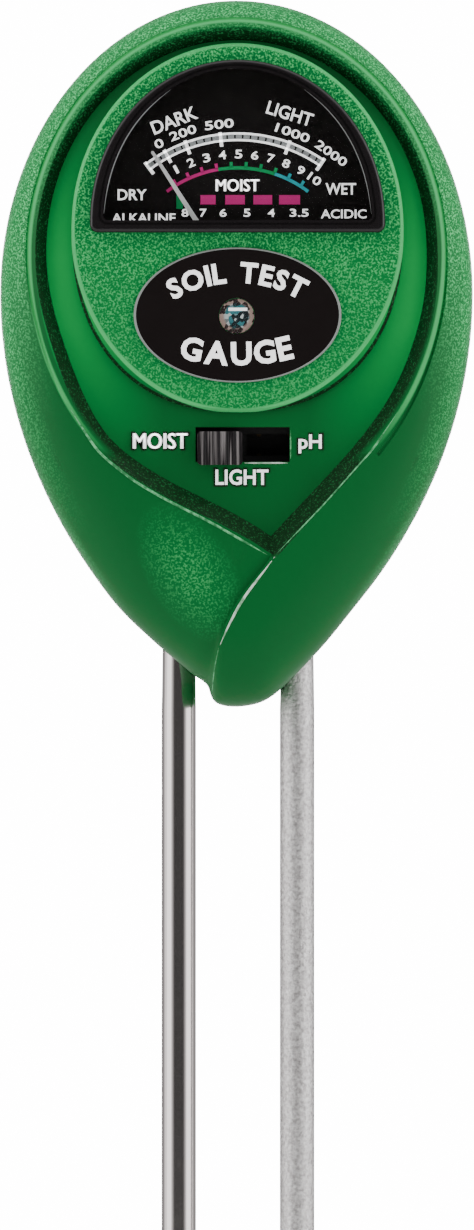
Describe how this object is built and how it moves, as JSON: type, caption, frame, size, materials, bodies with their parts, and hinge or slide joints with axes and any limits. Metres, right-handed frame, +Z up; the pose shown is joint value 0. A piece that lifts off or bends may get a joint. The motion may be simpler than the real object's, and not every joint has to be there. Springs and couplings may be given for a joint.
{
  "type": "soil meter",
  "caption": "Handheld soil meter: egg-shaped green head with a half-oval dial, light sensor and slide selector, on long metal probes that read moisture, light and pH.",
  "frame": {"origin": "Midway between the points of the two probes, at the height of the points.", "axes": "+Z runs up along the probes to the crown of the head, the dial faces -Y, +X is to the right seen from the front; y = 0 is the joint between front shell and rear cover."},
  "size_m": [0.0654, 0.0363, 0.285],
  "materials": {
    "shell_green": "metallic-fleck green plastic, semi gloss",
    "cover_green": "metallic-fleck green plastic, fine texture",
    "steel_screw": "zinc-plated steel",
    "bezel_black": "gloss black",
    "window_clear": "clear polished acrylic",
    "dial_black": "satin black with printed scales",
    "label_black": "printed black label",
    "lens_clear": "clear polished plastic",
    "cell_teal": "dark teal light cell",
    "tinned_wire": "tinned copper wire",
    "frame_black": "moulded black",
    "soft_iron": "zinc-plated soft iron",
    "magnet_grey": "sintered magnet",
    "copper_coil": "enamelled copper winding",
    "former_aluminium": "thin sheet",
    "pivot_steel": "hardened steel",
    "spring_bronze": "phosphor bronze ribbon",
    "pointer_white": "white painted aluminium",
    "weight_brass": "plain brass",
    "bridge_brass": "plain brass strip",
    "knob_black": "semi gloss black",
    "slider_black": "moulded black nylon",
    "contact_bronze": "plated bronze",
    "case_black": "blackened steel sheet",
    "base_brown": "phenolic board",
    "board_green": "fibre board with solder mask",
    "resistor_tan": "lacquered body",
    "probe_bright": "polished plated tube",
    "probe_matt": "sand-textured grey metal",
    "holder_black": "moulded black",
    "wire_red": "insulated flexible wire"
  },
  "bodies": {
    "head": {"front_shell": "shell_green", "rear_cover": "cover_green", "cover_screws": "steel_screw", "dial_bezel": "bezel_black", "dial_window": "window_clear", "dial_plate": "dial_black", "label_plate": "label_black", "sensor_window": "lens_clear", "photocell": "cell_teal", "photocell_leads": "tinned_wire", "movement_frame": "frame_black", "yoke_ring": "soft_iron", "core_magnet": "magnet_grey", "core_spokes": "frame_black", "front_hairspring": "spring_bronze", "rear_hairspring": "spring_bronze", "front_bridge": "bridge_brass", "rear_bridge": "bridge_brass", "front_jewel": "weight_brass", "rear_jewel": "weight_brass", "bridge_screws": "steel_screw", "movement_screws": "steel_screw", "switch_case": "case_black", "switch_base": "base_brown", "switch_terminals": "contact_bronze", "circuit_board": "board_green", "resistors": "resistor_tan", "board_screws": "steel_screw", "bright_probe": "probe_bright", "bright_probe_tip": "probe_bright", "matt_probe": "probe_matt", "matt_probe_tip": "probe_matt", "probe_holder": "holder_black", "probe_tags": "contact_bronze", "probe_wires": "wire_red", "movement_wires": "wire_red"},
    "pointer_body": {"coil": "copper_coil", "coil_former": "former_aluminium", "front_pivot": "pivot_steel", "rear_pivot": "pivot_steel", "pointer": "pointer_white", "pointer_weight": "weight_brass"},
    "selector": {"switch_knob": "knob_black", "switch_slider": "slider_black", "switch_contacts": "contact_bronze"}
  },
  "joints": [
    {"name": "pointer_swing", "type": "hinge", "parent": "head", "child": "pointer_body", "pos_m": [0.00014, 0, 0.2455], "axis": [0, 1, 0], "range_deg": [-3, 70.5], "stiffness_Nm_per_rad": 0.0001, "deforming": ["front_hairspring", "rear_hairspring"]},
    {"name": "selector_slide", "type": "slide", "parent": "head", "child": "selector", "axis": [1, 0, 0], "range_m": [0, 0.0065]}
  ]
}
